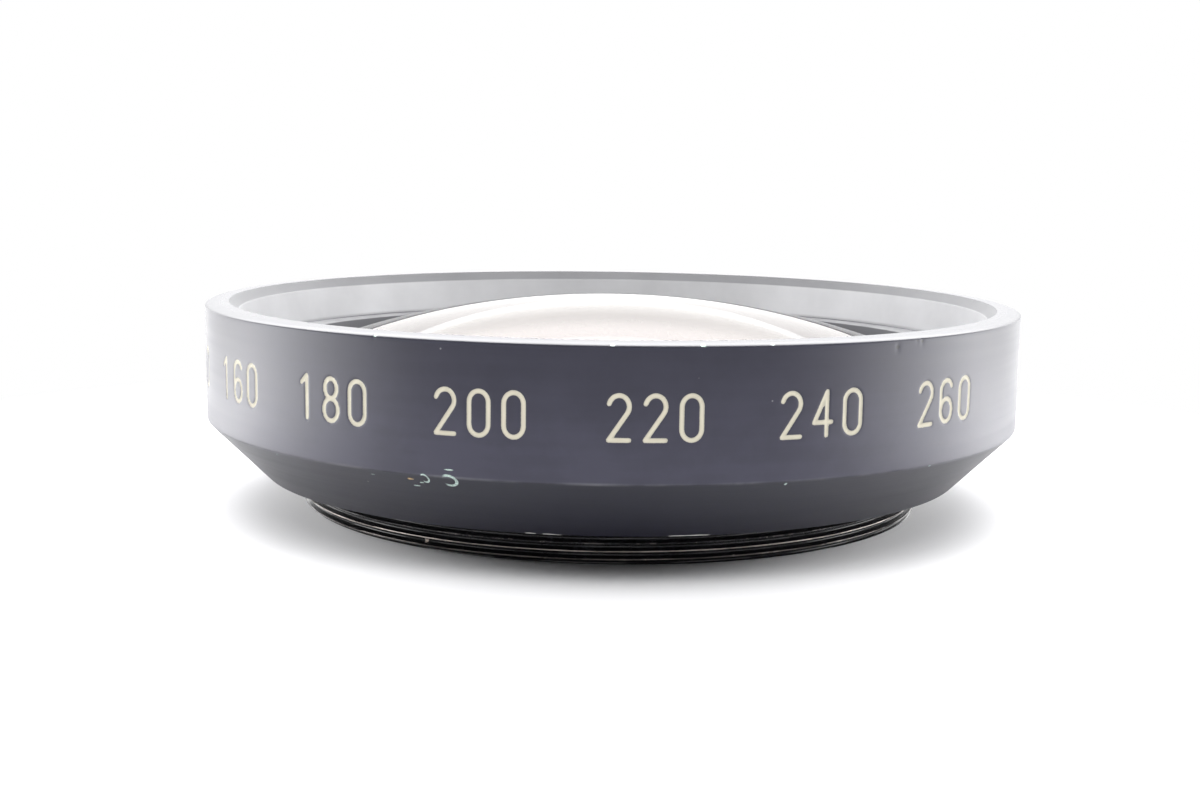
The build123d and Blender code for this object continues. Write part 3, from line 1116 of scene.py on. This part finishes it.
class CONVERSION_LENS_OT_stage(bpy.types.Operator):
    """Pale floor, soft studio light and the camera"""

    bl_idname = "conversion_lens.stage"
    bl_label = "Stage"

    def execute(self, context):
        stage = context.scene.conversion_lens_stage
        radius = np.array(FLOOR_RADII)[:, None] / MM
        floor = turned_piece(
            "studio_floor", radius, 0 * radius - FLOOR_DROP / MM, even_azimuths(FLOOR_TURN)[None],
            closed=False,
        )
        material, tree = new_material("floor_paper")
        paper = tree.add("BsdfDiffuse", {}, {"Color": opaque(stage.floor)})
        white = tree.add("Emission", {}, {"Strength": 1.0})
        far = Place(tree).radius.rise(*PAPER_FADE) * seen_directly(tree)
        surface = tree.add("MixShader", {}, {0: far, 1: paper, 2: white})
        tree.add("OutputMaterial", {}, {"Surface": surface})
        floor.data.materials.append(material)

        world = bpy.data.worlds.new("studio_white")
        world.use_nodes = True
        world.node_tree.nodes.clear()
        tree = Nodes(world.node_tree)
        up = tree.add("SeparateXYZ", {}, {"Vector": tree.add("TexCoord")}, output=2)
        # Reflections see a dimmer ceiling than the white all around.
        ceiling = up.rise(*CEILING_FADE) * tree.add("LightPath", output="Is Glossy Ray")
        plain = stage.ambient + (1 - stage.ambient) * seen_directly(tree)
        background = tree.add("Background", {}, {
            "Color": (1, 1, 1, 1), "Strength": plain - CEILING_DIMMING * ceiling,
        })
        tree.add("OutputWorld", {}, {"Surface": background})
        context.scene.world = world

        softbox("top_softbox", *TOP_SOFTBOX, glints=False)
        for name, lamp in FLOOR_LAMPS.items():
            softbox(name, *lamp, glints=False, only=floor)
        softbox("front_softbox", *FRONT_SOFTBOX, glints=False)
        softbox("back_softbox", *BACK_SOFTBOX, glints=False)
        for name, card in SIDE_CARDS.items():
            softbox(name, *card, diffuse=False, grade=side_card_grade)
        softbox("back_card", *BACK_CARD, diffuse=False, grade=back_card_grade)

        camera = bpy.data.cameras.new("photo_camera")
        camera.sensor_width, camera.lens = SENSOR_WIDTH, stage.focal_length
        camera.clip_start, camera.clip_end = CAMERA_CLIP
        viewer = bpy.data.objects.new("photo_camera", camera)
        context.scene.collection.objects.link(viewer)
        viewer.matrix_world = (
            Matrix.Translation(CAMERA_PLACE)
            @ Matrix.Rotation(radians(CAMERA_YAW), 4, "Z")
            @ Matrix.Rotation(radians(90 - CAMERA_TILT), 4, "X")
            @ Matrix.Rotation(radians(CAMERA_ROLL), 4, "Z")
        )
        context.scene.camera = viewer
        context.scene.view_settings.view_transform = "Standard"
        return {"FINISHED"}


class CONVERSION_LENS_PT_panel(bpy.types.Panel):
    """Sizes, finishes and pieces of the conversion lens"""

    bl_label = "Conversion lens"
    bl_idname = "CONVERSION_LENS_PT_panel"
    bl_space_type = "VIEW_3D"
    bl_region_type = "UI"
    bl_category = "Conversion lens"

    def draw(self, context):
        for operator in OPERATORS:
            self.layout.operator(operator.bl_idname)
        for name, group in SETTINGS.items():
            box = self.layout.box()
            box.label(text=group.__doc__)
            for title in group.__annotations__:
                box.prop(getattr(context.scene, name), title)


SETTINGS = {
    "conversion_lens_engraving": EngravingSettings,
    "conversion_lens_housing": HousingSettings,
    "conversion_lens_mount": MountSettings,
    "conversion_lens_glass": GlassSettings,
    "conversion_lens_stage": StageSettings,
}
OPERATORS = (
    CONVERSION_LENS_OT_housing,
    CONVERSION_LENS_OT_glass,
    CONVERSION_LENS_OT_retaining_ring,
    CONVERSION_LENS_OT_mount_ring,
    CONVERSION_LENS_OT_stage,
)


def register():
    for kind in (*SETTINGS.values(), *OPERATORS, CONVERSION_LENS_PT_panel):
        bpy.utils.register_class(kind)
    for name, group in SETTINGS.items():
        setattr(bpy.types.Scene, name, PointerProperty(type=group))


def unregister():
    for name in SETTINGS:
        delattr(bpy.types.Scene, name)
    for kind in (CONVERSION_LENS_PT_panel, *reversed(OPERATORS), *reversed(SETTINGS.values())):
        bpy.utils.unregister_class(kind)


def main():
    """Registers the add-on and makes every piece and the stage."""
    register()
    bpy.ops.conversion_lens.housing()
    bpy.ops.conversion_lens.glass()
    bpy.ops.conversion_lens.retaining_ring()
    bpy.ops.conversion_lens.mount_ring()
    bpy.ops.conversion_lens.stage()


if __name__ == "__main__":
    main()
